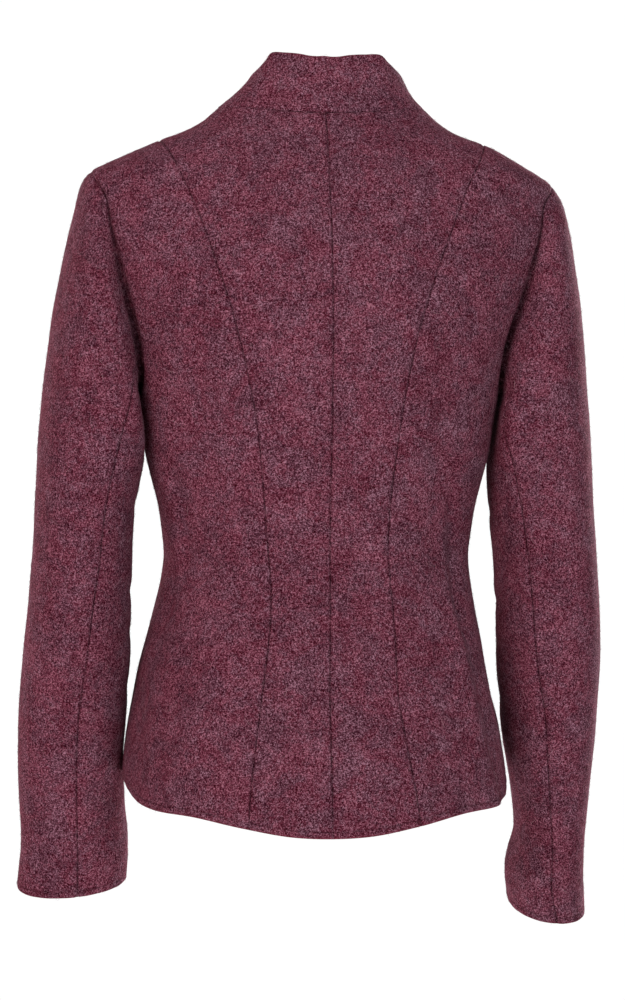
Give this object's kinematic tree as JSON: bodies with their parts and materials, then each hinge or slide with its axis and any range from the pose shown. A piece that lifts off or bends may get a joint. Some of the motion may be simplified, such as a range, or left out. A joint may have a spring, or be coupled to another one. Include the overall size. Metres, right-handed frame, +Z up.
{
  "type": "boiled wool jacket",
  "caption": "Short fitted folk jacket of boiled wool with shaped back seams, a low standing collar, two-piece sleeves, and a buttoned front, filled out as if worn.",
  "frame": {"origin": "on the wearer's axis at the height where the neck meets the shoulders, where the garment is worn or held", "axes": "+Z up towards the collar, +Y out of the back, +X towards the wearer's left arm"},
  "size_m": [0.5117, 0.2882, 0.7617],
  "materials": {
    "wool": "felted heathered wool, deep wine red, matt and fuzzy",
    "button": "dark wine horn-like, dull sheen"
  },
  "bodies": {
    "root": {"back_left": "wool", "back_right": "wool", "side_back_left": "wool", "side_back_right": "wool", "side_front_left": "wool", "side_front_right": "wool", "front_left": "wool", "front_right": "wool", "upper_sleeve_left": "wool", "upper_sleeve_right": "wool", "under_sleeve_left": "wool", "under_sleeve_right": "wool", "collar": "wool", "button_1": "button", "button_2": "button", "button_3": "button", "button_4": "button", "button_5": "button"}
  },
  "joints": []
}
